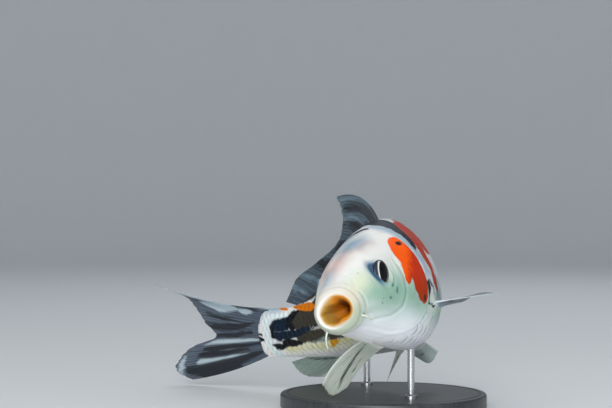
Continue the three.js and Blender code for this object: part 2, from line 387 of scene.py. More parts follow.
marks = {
    "mottle": {"soft": 1.6, "wobble": 2.0, "strokes": [
        [(136, 197, 1.6), (141, 197, 2.2), (148, 196, 1.6)],
        [(128, -10, 2.5), (140, -14, 3.0), (154, -12, 2.6)],
        [(96, 186, 4), (112, 192, 4), (124, 196, 3)],
    ]},
    "umber": {"soft": 1.4, "wobble": 1.6, "strokes": [
        [(108, 128, 6), (118, 138, 8), (130, 146, 7.4), (142, 154, 5), (150, 152, 4.6), (157, 146, 4)],
        [(116, 104, 4), (130, 104, 5), (142, 102, 4), (150, 97, 2.4)],
        [(138, 189, 1.4), (147, 190, 2.4), (155, 191, 2.2)],
        [(126, 199, 2.2), (134, 200, 2.2)],
    ]},
    "slate": {"soft": 1.1, "wobble": 1.2, "strokes": [
        [(51.4, 27, 0.6), (52.6, 34, 2.4), (53.4, 40, 3.2), (53.9, 47, 3.7), (54.6, 55, 5.5),
         (56, 65, 7.4), (55.6, 75, 7.6), (57, 84, 6.8), (61, 94, 5.5), (70, 104, 5), (80, 112, 4)],
        [(41, 79, 0.9), (41, 84, 1.5), (40.4, 90, 1.6), (39.2, 97, 1.5), (35, 102.5, 1.0)],
        [(40, 118, 2.0), (50, 122, 3.2), (60, 128, 2.6)],
        [(162, 152, 2.8), (168, 152, 3.2), (171, 154, 2.4)],
        [(142, 175, 0.5), (150, 176, 1.0), (160, 180, 1.9), (168, 182, 1.9), (171, 178, 1.2)],
        [(158, 30, 3.4), (166, 28, 3.4)],
    ]},
    "black": {"soft": 0.8, "wobble": 1.0, "strokes": [
        [(51, -28, 0.5), (47.2, -25.5, 0.6), (46.7, -20, 0.7), (47.2, -15, 1.0), (48.6, -9, 1.5),
         (49.2, -5, 1.4)],
        [(51.2, -4, 1.0), (53, -9, 0.7)],
        [(154, 128, 1.0), (159, 140, 1.8), (160.5, 154, 1.8), (158, 166, 1.6)],
        [(155, 202, 0.9), (160, 200, 1.7), (165, 200, 1.4)],
        [(165, 208, 0.8), (170, 212, 1.8), (174, 214, 1.2)],
        [(178, 196, 0.6), (181, 202, 1.6)], [(179, 182, 0.7), (182, 180, 1.2)],
        [(171.6, 184, 0.7), (172, 172, 0.8), (172.6, 160, 0.6)],
        [(84, 70, 2.5), (93, 78, 4), (99, 92, 5), (104, 104, 4)],
        [(86, 160, 2.5), (96, 166, 4.4), (106, 158, 3.5)],
        [(134, 30, 3), (142, 22, 3.6), (151, 26, 2.6)],
        [(90, 22, 2), (99, 16, 3.2), (106, 20, 2)],
        [(150, -24, 1.4), (162, -26, 2.2), (174, -28, 2.2), (182, -28, 2)],
    ]},
    "orange": {"soft": 0.6, "wobble": 0.5, "strokes": [
        [(39.6, 31, 6.0), (39, 26, 6.6), (39.5, 20, 6.6), (40.4, 14, 6.4), (41.9, 5.5, 5.4),
         (41.4, 0, 5.3), (41, -7.5, 4.9), (41.2, -15, 3.8), (41.8, -21.5, 2.0)],
        [(36.4, 17, 3.3), (34.8, 11, 2.9), (33.9, 6, 2.4), (32.8, 1, 1.9), (32.2, -3, 0.8)],
        [(66.8, 68, 1.0), (63.6, 61, 2.6), (61, 52.5, 3.0), (59.4, 42, 3.0), (58, 30.5, 3.1),
         (56.8, 22, 2.9), (57.2, 15, 2.8), (57.6, 10, 2.2)],
        [(66, 56, 3), (74, 66, 4), (82, 70, 3)],
        [(64, 28, 3), (70, 40, 8), (80, 50, 10), (90, 54, 7)],
        [(57.4, 5, 1.3), (57, -0.5, 2.3), (57.3, -9, 1.7), (57, -14, 0.7)],
        [(140.5, 141, 0.9), (142.5, 140, 1.7), (146.5, 131, 2.0), (150.5, 122, 1.8),
         (154, 112, 1.6), (157, 98, 1.3)],
        [(161.6, 110, 0.6), (163.6, 103, 1.4), (166, 97, 1.2), (166.4, 90, 0.9)],
        [(112, 58, 6), (124, 56, 7), (133, 62, 5)],
        [(62, 152, 4), (72, 146, 7), (84, 140, 6)],
        [(37, 146, 2.6), (42, 154, 3.2), (43, 166, 2)],
    ]},
    "ink": {"soft": 0.6, "wobble": 0.3, "strokes": [
        [(40.2, 37.6, 0.9), (42, 37, 0.9)],
        [(42.4, -18.5, 0.7), (42.1, -21.5, 0.8)],
        [(47.9, 5, 0.4), (47, -1, 0.7), (46, -6, 0.4)],
    ]},
    "gold": {"soft": 1.0, "wobble": 0.8, "strokes": [
        [(130, 209, 0.6), (133, 211, 1.0), (136, 213, 1.5), (137, 218, 0.8)],
    ]},
    "pale": {"soft": 1.4, "wobble": 1.2, "strokes": [
        [(162.6, 130, 0.8), (168, 131, 1.1), (172, 134, 1.4), (176, 148, 2.2), (176.4, 170, 2.0),
         (175.4, 195, 1.5), (174, 214, 1.4), (171, 236, 2.2), (170, 254, 2.2)],
        [(164, 46, 1.0), (172, 52, 1.8), (175.5, 30, 1.9), (176.4, 0, 1.8), (175, -25, 1.2),
         (171, -52, 2.2)],
    ]},
    "speck": {"soft": 0.7, "wobble": 0.5, "strokes": [
        [(19.8, 0.4, 0.65), (20.6, 0.2, 0.6)],
        [(22.5, -4.5, 0.6), (21.8, -9.5, 0.9)],
        [(16.4, -15, 0.7), (17.2, -16, 0.5)],
        [(11.6, -13, 0.3)],
        [(11, -20, 0.45)],
        [(0, -29, 0.5), (0.8, -33, 0.5)],
        [(14, 196, 0.5)], [(21, 188, 0.6)], [(27, 201, 0.5)],
    ]},
    "nostril": {"soft": 0.7, "wobble": 0.3, "strokes": [
        [(6.0, 58, 0.1)], [(7.5, 47, 0.3)], [(6.0, 122, 0.1)], [(7.5, 133, 0.3)],
    ]},
}
print("koi: spine and markings set out")


# Writes how far inside each mark the vertices of a piece lie
def markBody(piece):
    s, left, up = numbersOf(piece, "flat", 3).T.astype(float)
    angle = angleOf(s, left, up)
    scale = perDegree(s)
    for name, mark in {**tints, **marks}.items():
        field = np.max([strokeField(s, angle, scale, stroke) for stroke in mark["strokes"]], axis=0)
        keepNumbers(piece, name, np.maximum(field, -30))


skin = {
    "around": 248,
    "lipRows": 56,
    "headRows": 176,
    "headEnd": 52,
    "bodyRows": 160,
    "tailEnd": 182,
    "tailRounding": 9,
    "headInset": 0.2,
    "bodyInset": 0.5,
    # From the throat out over the lips: s, back, widest place, belly, half width
    "lips": [
        (7.6, -4.69, -4.7, -4.71, 0.01),
        (7.1, -3.7, -4.7, -6.2, 2.1),
        (5.6, -3.1, -4.7, -7.6, 4.0),
        (3.0, -2.7, -4.7, -8.4, 4.9),
        (0.2, -2.3, -4.7, -8.9, 5.4),
        (-2.0, -1.9, -4.7, -9.2, 5.7),
        (-3.4, -1.3, -4.7, -9.6, 6.1),
        (-4.1, 0.0, -4.7, -10.3, 6.8),
        (-4.25, 1.5, -4.7, -11.2, 7.6),
        (-3.8, 2.6, -4.7, -12.0, 8.4),
        (-2.6, 3.6, -4.7, -12.7, 9.3),
    ],
    # Grooves (below 0) and ridges (above 0) on both sides: height, width, path of (s, angle)
    "folds": [
        (-0.34, 0.9, [(30, 24), (30.6, 6), (29.6, -12), (26.4, -30), (19, -43), (9, -50)]),
        (0.18, 1.3, [(27.5, 18), (28, 4), (27, -12), (23.5, -28), (16, -38)]),
        (-0.14, 0.6, [(9.5, 30), (10, 14), (14, 2), (20, -1), (25, 8), (27, 22)]),
        (-0.3, 0.9, [(-1, -24), (1.6, -31), (5, -35)]),
        (0.1, 1.5, [(1.5, -14), (4.5, -20), (7, -24)]),
        (-0.1, 0.8, [(-0.5, 30), (2.5, 42), (4.6, 56), (5.4, 75), (5.6, 90)]),
        (-0.14, 0.9, [(3, -64), (12, -66), (24, -68), (34, -60), (40, -48)]),
        (-0.12, 0.8, [(12, -80), (24, -78), (33, -70)]),
        (0.1, 1.1, [(18, -73), (28, -73), (36, -64)]),
        (-0.14, 0.9, [(4, -90), (20, -90)]),
        (-0.16, 1.6, [(14, 90), (30, 90), (40, 90)]),
        (0.14, 1.4, [(33, 20), (39, 10), (42, -6), (40, -24)]),
        (-0.12, 0.8, [(34, 32), (37, 12), (37, -8), (34, -28)]),
    ],
    # The rear edge of the gill cover, as s at an angle
    "gillEdge": [(-90, 21), (-78, 26), (-66, 33), (-52, 40), (-35, 44.4), (-15, 46.4), (5, 47.1),
                 (25, 46.5), (45, 44), (60, 41), (75, 44), (90, 46.5)],
    "nostrils": [(6.0, 58, 0.4), (7.5, 47, 0.5)],
    "nostrilDepth": 0.22,
    "finFeet": [(52, -26), (52, 222), (87, -62), (87, 252)],
    "footHeight": 0.8,
    "shoulder": {"drop": 1.1, "s": 64, "reach": 10, "angle": 54, "spread": 20},
    # the open mouth is drawn in at its lower left
    "drawnIn": {"share": 0.3, "angle": -68, "spread": 34},
    "mouthShare": 0.88,         # of the lip rows that are inside the mouth
    "throatNumber": 15,         # what the throat number reaches at the deepest point
    "wetFold": 0.16,
    "lipCrease": 0.3,
    "lipSwell": 0.55,
    "gillRise": 0.34,
    "gillSlit": 1.1,
    "gillGroove": 0.16,
    "napeStep": 0.1,
}
eye = {
    "s": 18.0, "left": 13.4, "up": 5.4, "long": 4.4, "high": 4.9, "depth": 1.5,
    "forwardTurn": 14, "upTurn": -6,
    # middle and half sizes of the opening in the skin
    "openS": 18.1, "openUp": 5.3, "openLong": 3.8, "openHigh": 4.6,
    "socketDepth": 2.4, "rightInset": 0.9, "clearRise": 0.12, "clearSpread": 0.6,
    # the dark blue round the front of the eye: how far forward its middle is, and its half sizes
    "haloForward": 1.8, "haloLong": 5.8, "haloHigh": 5.9,
}


# The angle folded onto one side: 90 is the back and -90 the belly on both
def oneSide(angle):
    return np.where(np.abs(turnBetween(angle, 0)) > 90, turnBetween(180, angle), turnBetween(angle, 0))


def gillLine(angle):
    return between(skin["gillEdge"], oneSide(angle))[..., 0]


# 0 at the middle of the opening round the eye and 1 at its rim
def eyeAway(s, up):
    return np.hypot((s - eye["openS"]) / eye["openLong"], (up - eye["openUp"]) / eye["openHigh"])


# The left shoulder is a little flatter than the plain form
def shoulder(s, angle):
    flat = skin["shoulder"]
    near = hump(turnBetween(angle, flat["angle"]), 0, flat["spread"])
    return -flat["drop"] * hump(s, flat["s"], flat["reach"]) * near


# Height of the skin over its plain form, in mm
def relief(s, angle, left, up):
    side = oneSide(angle)
    scale = perDegree(s)
    height = shoulder(s, angle)
    for rise, width, path in skin["folds"]:
        away = -strokeField(s, side, scale, [(*row, 0) for row in path])
        height += rise * np.exp(-((away / width) ** 2))
    # lips, the fold behind them and the soft swelling of the upper jaw
    crease = 1.6 - 0.6 * smooth(0, 40, side)
    toTop = smooth(20, 70, side)
    height -= skin["lipCrease"] * hump(side, 2, 24) * hump(s, crease, 0.7)
    height += (skin["lipSwell"] + 0.2 * toTop) * hump(s, -1.2, 2.6)
    # gill cover standing over the slit behind it
    past = s - gillLine(angle)
    strength = 1 - smooth(48, 64, side)
    rise = strength * smooth(-88, -60, side) * skin["gillRise"] * smooth(-8, -1, past)
    height += rise * (1 - smooth(-0.5, 0.4, past))
    height -= strength * (0.04 + skin["gillSlit"] * smooth(-76, -50, side)) * hump(past, 0.9, 0.8)
    height -= strength * skin["gillGroove"] * hump(past, -2.6, 0.45)
    # nape step where the scales begin
    height += skin["napeStep"] * (1 - strength) * (1 - smooth(-2, 1, past))
    # the orbit
    away = eyeAway(s, up)
    front = smooth(1, -3, s - eye["openS"])
    ridge = 0.26 + front * np.where(left < 0, 0.6, -0.5)
    height -= np.where((up > -8) & (left > 0), 0.45 * front * hump(away, 1.3, 0.4), 0)
    height += np.where(up > -8, ridge * hump(away, 1.18, 0.14) - 0.12 * hump(away, 1.5, 0.16), 0)
    height -= np.where(up > -8, eye["socketDepth"] * (1 - smooth(0.76, 1.06, away)), 0)
    for nostrilS, nostrilAngle, radius in skin["nostrils"]:
        away = -strokeField(s, side, scale, [(nostrilS, nostrilAngle, 0)])
        height += -skin["nostrilDepth"] * hump(away, 0, radius) + 0.05 * hump(away, radius * 2.2, 0.5)
    # fleshy feet of the fins
    for rootS, rootAngle in skin["finFeet"]:
        away = -strokeField(s, angle, scale, [(rootS, rootAngle, 0), (rootS + 4, rootAngle - 4, 0)])
        height += skin["footHeight"] * hump(away, 0, 2.4)
    return height


def makeSkin(look):
    rows = skin["lipRows"] + skin["headRows"] + skin["bodyRows"]
    bm, u, v, _ = gridSheet(rows, skin["around"])
    row, angle = u * rows, v * 360
    lipShape = along(skin["lips"], np.clip(row / skin["lipRows"], 0, 1))
    stations = [skin["lipRows"], skin["lipRows"] + skin["headRows"], rows]
    s = np.interp(row, stations, [skin["lips"][-1][0], skin["headEnd"], skin["tailEnd"]])
    lipEnd = smooth(0, 8, row - skin["lipRows"])[:, None]
    rings = lipShape[:, 1:] + (between(fish["sections"], s) - lipShape[:, 1:]) * lipEnd
    s = np.where(row <= skin["lipRows"], lipShape[:, 0], s)
    left, up, outLeft, outUp = outline(s, angle, rings)
    lipAt, drawnIn, mouthUp = row / skin["lipRows"], skin["drawnIn"], skin["lips"][0][2]
    drawn = drawnIn["share"] * hump(turnBetween(angle, drawnIn["angle"]), 0, drawnIn["spread"])
    drawn = 1 - drawn * (1 - smooth(0.68, 0.95, lipAt))
    left, up = left * drawn, mouthUp + (up - mouthUp) * drawn
    outside = smooth(0.72, 1, lipAt)
    behindGill = smooth(-2, 3, s - gillLine(angle))
    inset = skin["headInset"] + (skin["bodyInset"] - skin["headInset"]) * behindGill
    height = (relief(s, angle, left, up) - inset) * outside
    # wet folds inside the mouth
    turns = np.radians(angle * 7 + 30 * np.sin(np.radians(angle * 2)))
    folds = np.sin(turns) * smooth(0.05, 0.3, lipAt)
    height += (1 - smooth(0.5, 0.75, lipAt)) * skin["wetFold"] * folds
    left, up = left + outLeft * height, up + outUp * height
    tail = np.clip((s - skin["tailEnd"] + skin["tailRounding"]) / skin["tailRounding"], 0, 1)
    left = left * np.sqrt(1 - tail**2)
    throat = np.clip(1 - row / (skin["lipRows"] * skin["mouthShare"]), 0, 1) * skin["throatNumber"]
    frontTop = smooth(-2.5, 4, (up - eye["openUp"]) * 0.3 + eye["openS"] - s)
    haloBack = s - eye["openS"] + eye["haloForward"]
    away = np.hypot(haloBack / eye["haloLong"], (up - eye["openUp"]) / eye["haloHigh"])
    halo = (1 - smooth(0.66, 1.18, away)) * (0.1 + 0.9 * frontTop) * (up > -6)
    flat = np.stack([s, left, up], -1)
    settle(bm, place(s, left, up), {"flat": flat}, {"throat": throat, "halo": halo})
    bakeMap(bm, u, v)
    bmesh.ops.remove_doubles(bm, verts=bm.verts, dist=0.004 * mm)
    bmesh.ops.dissolve_degenerate(bm, dist=0.001 * mm, edges=bm.edges)
    bmesh.ops.recalc_face_normals(bm, faces=bm.faces)
    lengths = ("head", "trunk_front", "trunk_middle", "trunk_rear", "tail_stem")
    piece = finish("skin", bm, look, "skin", lengths)
    markBody(piece)
    print("koi: skin", len(piece.data.polygons), "faces")
    return piece


scales = {
    # from one scale to the next behind it
    "pitch": [(40, 4.2), (80, 4.3), (120, 3.8), (150, 3.2), (182, 2.6)],
    "rowHeight": [(40, 5.4), (80, 6.0), (120, 5.0), (150, 3.7), (182, 2.8)],
    "length": 2.1,          # in pitches
    "width": 1.45,          # in row heights
    # height over the skin at the free edge, and depth at the buried edge
    "lift": [(40, 0.01), (62, 0.03), (90, 0.1), (150, 0.1), (170, 0.06), (180, -0.06)],
    "sink": [(40, 0.1), (62, 0.16), (90, 0.34), (150, 0.3), (182, 0.2)],
    "thickness": 0.1,
    "skirt": 1.6,           # in thicknesses, how far the rim goes down
    "crown": 0.08,
    "tube": 0.08,
    "taper": 0.12,
    "bellyClose": 0.75,
    "firstS": 30.0,
    "behindGill": 2.2,
    "behindNape": 7,
    "clearOfFins": 3.2,
    "sides": 6,
    "rows": 7,
}


girthS = np.arange(20.0, 184.0, 1.0)
girthAngles = np.arange(-90.0, 271.0, 1.0)
ringLeft, ringUp, _, _ = outline(girthS[:, None], girthAngles[None, :])
girths = np.cumsum(np.hypot(np.diff(ringLeft, axis=1, prepend=ringLeft[:, :1]),
                            np.diff(ringUp, axis=1, prepend=ringUp[:, :1])), axis=1)
girths -= girths[:, [90]]


# Girth at each of girthAngles, round the body at s
def ringAt(s):
    rowAt = np.interp(s, girthS, np.arange(len(girthS)))
    low = int(rowAt)
    f = rowAt - low
    return girths[low] * (1 - f) + girths[min(low + 1, len(girthS) - 1)] * f


def girthAt(s, angle):
    return np.interp(angle, girthAngles, ringAt(s))


def angleAt(s, girth):
    ring = ringAt(s)
    total = ring[-1] - ring[0]
    return np.interp((girth - ring[0]) % total + ring[0], ring, girthAngles)


def scaleValue(name, s):
    return float(between(scales[name], s)[0])


# Where each scale sits: s, girth and which row
def scalePlaces():
    found = []
    s = scales["firstS"]
    stations = []
    while s < skin["tailEnd"] - 4:
        stations.append(s)
        s += scaleValue("pitch", s) / 2
    for column, s in enumerate(stations):
        rowHeight = scaleValue("rowHeight", s)
        above, below = girthAt(s, 90), -girthAt(s, -90)
        for side in (0, 180):
            for row in range(-scales["rows"], scales["rows"] + 1):
                if (row + column) % 2:
                    continue
                reach = above if row > 0 else below
                if abs(row) * rowHeight > reach - 0.45 * rowHeight:
                    continue
                start = girthAt(s, side)
                sign = 1 if side == 0 else -1
                found.append((s, start + sign * row * rowHeight, row))
        if column % 2 == 0:
            found += [(s, girthAt(s, angle), scales["rows"]) for angle in (90, -90)]
    return [item for item in found if scaleWanted(*item[:2])]


# Scales keep behind the gill cover and the nape, and clear of the feet of the paired fins
def scaleWanted(s, girth):
    angle = float(angleAt(s, girth))
    behind = scales["behindGill"] + scales["behindNape"] * float(smooth(34, 56, oneSide(angle)))
    if s < float(gillLine(angle)) + behind:
        return False
    left, up, _, _ = outline(s, angle)
    paired = [fin["root"] for name, fin in fins.items() if name.endswith(("_left", "_right"))]
    away = [math.dist((s, left, up), foot) for root in paired for foot in root]
    return min(away) >= scales["clearOfFins"]


def scaleTemplate():
    bm = bmesh.new()
    bmesh.ops.create_grid(bm, x_segments=scales["sides"], y_segments=scales["sides"], size=1)
    for vert in bm.verts:       # a square sheet drawn out to a round one
        x, y = vert.co.x, vert.co.y
        vert.co.x, vert.co.y = x * math.sqrt(1 - y * y / 2), y * math.sqrt(1 - x * x / 2)
    rim = [edge for edge in bm.edges if edge.is_boundary]
    made = bmesh.ops.extrude_edge_only(bm, edges=rim)
    lowered = [item for item in made["geom"] if isinstance(item, bmesh.types.BMVert)]
    bmesh.ops.translate(bm, verts=lowered, vec=(0, 0, -1))
    bmesh.ops.recalc_face_normals(bm, faces=bm.faces)
    if sum(face.normal.z for face in bm.faces) < 0:
        bmesh.ops.reverse_faces(bm, faces=bm.faces)
    mesh = bpy.data.meshes.new("scale_template")
    bm.to_mesh(mesh)
    bm.free()
    return mesh


def makeScales(look):
    template = scaleTemplate()
    places = scalePlaces()
    bm = bmesh.new()
    for _ in places:
        bm.from_mesh(template)
    local = np.array([vert.co for vert in template.vertices])
    points, flats, rims, maps = [], [], [], []
    for s0, girth0, row in places:
        halfLength = scaleValue("pitch", s0) * scales["length"] / 2
        halfWidth = scaleValue("rowHeight", s0) * scales["width"] / 2
        back, across = local[:, 0], local[:, 1]
        s = np.clip(s0 + back * halfLength, -3, skin["tailEnd"] - 0.4)
        spread = 1 - scales["taper"] * (1 - back)
        angle = angleAt(s0, girth0 + across * halfWidth * spread)
        left, up, outLeft, outUp = outline(s, angle)
        # the scales of the chest and belly lie closer
        angle0 = angleAt(s0, girth0)
        close = 1 - scales["bellyClose"] * float(1 - smooth(-60, -20, oneSide(angle0)))
        edgeLift = scaleValue("lift", s0) * close
        sink = scaleValue("sink", s0) * close
        lift = -sink + (sink + edgeLift) * (back + 1) / 2
        lift = lift + scales["crown"] * close * (1 - across**2) * smooth(-1, 0.4, back)
        if row == 0:        # the pored tube of the lateral line
            lift = lift + scales["tube"] * hump(across, 0, 0.16) * smooth(-0.6, 0.2, back)
        skirt = local[:, 2] * scales["thickness"] * scales["skirt"]
        height = lift - skin["bodyInset"] + shoulder(s, angle) + skirt
        endFade = np.sqrt(1 - np.clip((s - skin["tailEnd"]) / skin["tailRounding"] + 1, 0, 1) ** 2)
        left, up = (left + outLeft * height) * endFade, up + outUp * height
        points.append(place(s, left, up))
        flats.append(np.stack([s, left, up], -1))
        rims.append(np.hypot(np.maximum(back, 0), across) ** 3)
        mapU, mapV = (s0 + 5) / 190, (angle0 + 90) / 360
        maps.append(np.stack([mapU + back * 0.0015, mapV + across * 0.0015], -1))
    points, flats, maps = np.concatenate(points), np.concatenate(flats), np.concatenate(maps)
    settle(bm, points, {"flat": flats}, {"rim": np.concatenate(rims)})
    bakeMap(bm, maps[:, 0], maps[:, 1])
    bpy.data.meshes.remove(template)
    piece = finish("scales", bm, look, "skin")
    markBody(piece)
    print("koi: scales", len(places))
    return piece


# A fin spreads from its root line (s, left, up) along rays (back, left, up), bowed at their middle.
# It replaces the CAD's node of its own name unless it says otherwise
fins = {
    "dorsal_fin": {
        "root": [(82, 0, 29.7), (97.4, 0, 28.4), (111.8, 0, 25.2), (126.2, 0, 20.5),
                 (140.6, 0, 15.4), (155, 0, 11.5)],
        "rays": [(20.4, -13.2, 16.8), (13.4, -4.4, 10.2), (9, 0.2, 7.2), (11.4, -0.4, 7.6),
                 (11.6, 1.6, 9.2), (9.6, 3.4, 3)],
        "bow": [(-2, 2.6, 4.2), (-1.2, 0.8, 2), (-0.6, 0, 0.6), (0, 0, 0), (0, 0, 0), (0, 0, 0)],
        "count": 19, "steps": 36, "foot": 0.2,
    },
    "anal_fin": {
        "root": [(137, 0, -15.5), (145, 0, -13.5), (153, 0, -11.5)],
        "rays": [(18, 0, -6.3), (17.9, -2.1, -5.3), (15.4, 0, -1.2)],
        "bow": [(0, 0, -1), (0, 0, 0)],
        "count": 7, "steps": 36, "foot": 0.2,
    },
    "caudal_fin": {
        "root": [(180, 0, 12), (180, 0, -11.6)],
        "rays": [(54.2, -6.2, 13.4), (41.2, -0.8, 9.4), (35.1, -1, 7.1), (30.2, -1.6, 2.8),
                 (25.3, -0.8, -1.7),
                 (37, -3.3, -3), (44.8, -4.9, -6.2), (46.5, -5.8, -8.9), (40.4, -2.3, -10.7)],
        "bow": [(0, 0, -2), (0, 0, 0), (0, 0, -1.5)],
        "count": 19, "steps": 64, "foot": 1.1, "nodes": ("caudal_fin_upper", "caudal_fin_lower"),
    },
    "pectoral_fin_left": {
        "root": [(50, 16.2, -9.6), (56, 15.6, -12.2)],
        "rays": [(24.8, 21.5, -4.2), (25.5, 14.7, -0.3), (19.9, 8.6, 0)],
        "bow": [(0, 1, 0), (0, 0, 0)],
        "count": 14, "steps": 40, "foot": 0.9,
    },
    "pectoral_fin_right": {
        "root": [(50, -13.5, -15), (54, -8.4, -20.5)],
        "rays": [(9, -28.5, -13.1), (5.6, -27.3, -16.1), (3.3, -21.9, -12.2)],
        "bow": [(0, -2, 2), (0, -1, 1)],
        "count": 14, "steps": 40, "foot": 0.9,
    },
    "pelvic_fin_left": {
        "root": [(85, 8, -23.6), (89, 3, -25.2)],
        "rays": [(21.3, 9.6, -4.9), (19.8, 7.9, -8), (14.9, 4, -2.4)],
        "bow": [(0, 0, 0), (0, 0, 0)],
        "count": 9, "steps": 32, "foot": 0.6,
    },
    "pelvic_fin_right": {
        "root": [(85, -4.4, -24.8), (89, -1.4, -25.4)],
        "rays": [(21.6, -3.2, -11.4), (21, -2.2, -8.7), (15.1, -0.6, -4.1)],
        "bow": [(0, 0, 0), (0, 0, 0)],
        "count": 9, "steps": 32, "foot": 0.6,
    },
}
finMaking = {
    "perRay": 12,
    "rootDepth": 0.1,
    "web": 0.11,            # half thickness, mm
    "ray": 0.065,           # further half thickness on a ray at its root
    "tip": 0.04,            # and at its tip
    "notch": 0.012,
    "uneven": 0.006,
    "jointed": 0.12,
    "wave": 0.12,
    "thickerFront": 0.5,
    "thinnerEnd": 0.6,
    "footReach": 0.06,
    "rootSpan": 12,         # mm added to the spread of the ray tips for the fin's width
    "firstBranch": 0.38,
    "secondBranch": 0.68,
}


def finPoint(fin, u, v):
    s, left, up = along(fin["root"], u).T
    bow = along(fin["bow"], u) * (4 * v * (1 - v))[:, None]
    return place(s, left, up, along(fin["rays"], u) * v[:, None] + bow)


# How much of a ray is at each place, from 0 on the web to 1 on a ray's crest
def rayShare(fin, u, v):
    cell = u * fin["count"] % 1 - 0.5
    first = 0.21 * smooth(finMaking["firstBranch"], finMaking["firstBranch"] + 0.3, v)
    second = 0.1 * smooth(finMaking["secondBranch"], 1.0, v)
    width = 0.17 - 0.05 * smooth(0.3, 0.6, v) - 0.035 * smooth(0.6, 0.9, v)
    crests = [hump(cell, a * first + b * second, width) for a in (-1, 1) for b in (-1, 1)]
    return np.max(crests, axis=0)


def makeFin(name, fin, look):
    bm, u, v, layer = gridSheet(fin["count"] * finMaking["perRay"], fin["steps"], True)
    v = v * (1 + finMaking["rootDepth"]) - finMaking["rootDepth"]
    cell = u * fin["count"] % 1 - 0.5
    number = np.floor(np.minimum(u, 0.9999) * fin["count"])
    share = rayShare(fin, u, v)
    # the web between the tips is cut back a little, and no two rays are quite as long
    reach = 1 - finMaking["notch"] * (2 * cell) ** 2 * smooth(0.5, 1, v)
    reach = reach - finMaking["uneven"] * (1 + np.sin(number * 2.4))
    vOut = np.where(v > 0, v * reach, v)
    step = 0.01
    middle = finPoint(fin, u, vOut)
    behind, ahead = (finPoint(fin, np.clip(u + move, 0, 1), vOut) for move in (-step, step))
    alongRoot = ahead - behind
    outward = finPoint(fin, u, vOut + step) - middle
    normal = np.cross(alongRoot, outward)
    normal /= np.maximum(np.linalg.norm(normal, axis=1, keepdims=True), 1e-12)
    rayHeight = finMaking["ray"] + (finMaking["tip"] - finMaking["ray"]) * np.clip(v, 0, 1)
    joints = 1 + finMaking["jointed"] * np.sin(v * 120) * smooth(0.15, 0.4, v)
    foot = fin["foot"] * np.exp(-np.maximum(v, 0) / finMaking["footReach"])
    half = finMaking["web"] + rayHeight * share * joints + foot
    leading = np.exp(-u * fin["count"] / 0.6)
    half = half * (1 + finMaking["thickerFront"] * leading * (1 - np.clip(v, 0, 1)))
    half = half * (1 - finMaking["thinnerEnd"] * smooth(0.93, 1, v))
    wave = finMaking["wave"] * np.sin(number * 1.7 + v * 5) * (1 - share) * np.clip(v, 0, 1)
    points = middle + normal * ((layer * 2 - 1) * half + wave)[:, None] * mm
    places = np.stack([u, v, number], -1)
    settle(bm, points, {"finPlace": places}, {"ray": share})
    bakeMap(bm, u * 0.48 + 0.01 + layer * 0.5, np.clip(v, -0.1, 1) * 0.88 + 0.1)
    bmesh.ops.recalc_face_normals(bm, faces=bm.faces)
    piece = finish(name, bm, look, "fin", fin.get("nodes", (name,)))
    # the strokes are measured on a flat fin as long as its mean ray
    outLong = np.mean(np.linalg.norm(np.array(fin["rays"]), axis=1))
    acrossLong = np.linalg.norm(np.subtract(fin["rays"][0], fin["rays"][-1])) + finMaking["rootSpan"]
    u, v, _ = numbersOf(piece, "finPlace", 3).T.astype(float)
    for mark, strokes in finMarks[name].items():
        routes = [[(outward * outLong, across * 100, radius) for across, outward, radius in stroke]
                  for stroke in strokes]
        fields = [strokeField(v * outLong, u * 100, acrossLong / 100, route) for route in routes]
        keepNumbers(piece, mark, np.maximum(np.max(fields, axis=0), -30))
    print("koi:", name, len(piece.data.polygons), "faces")
    return piece


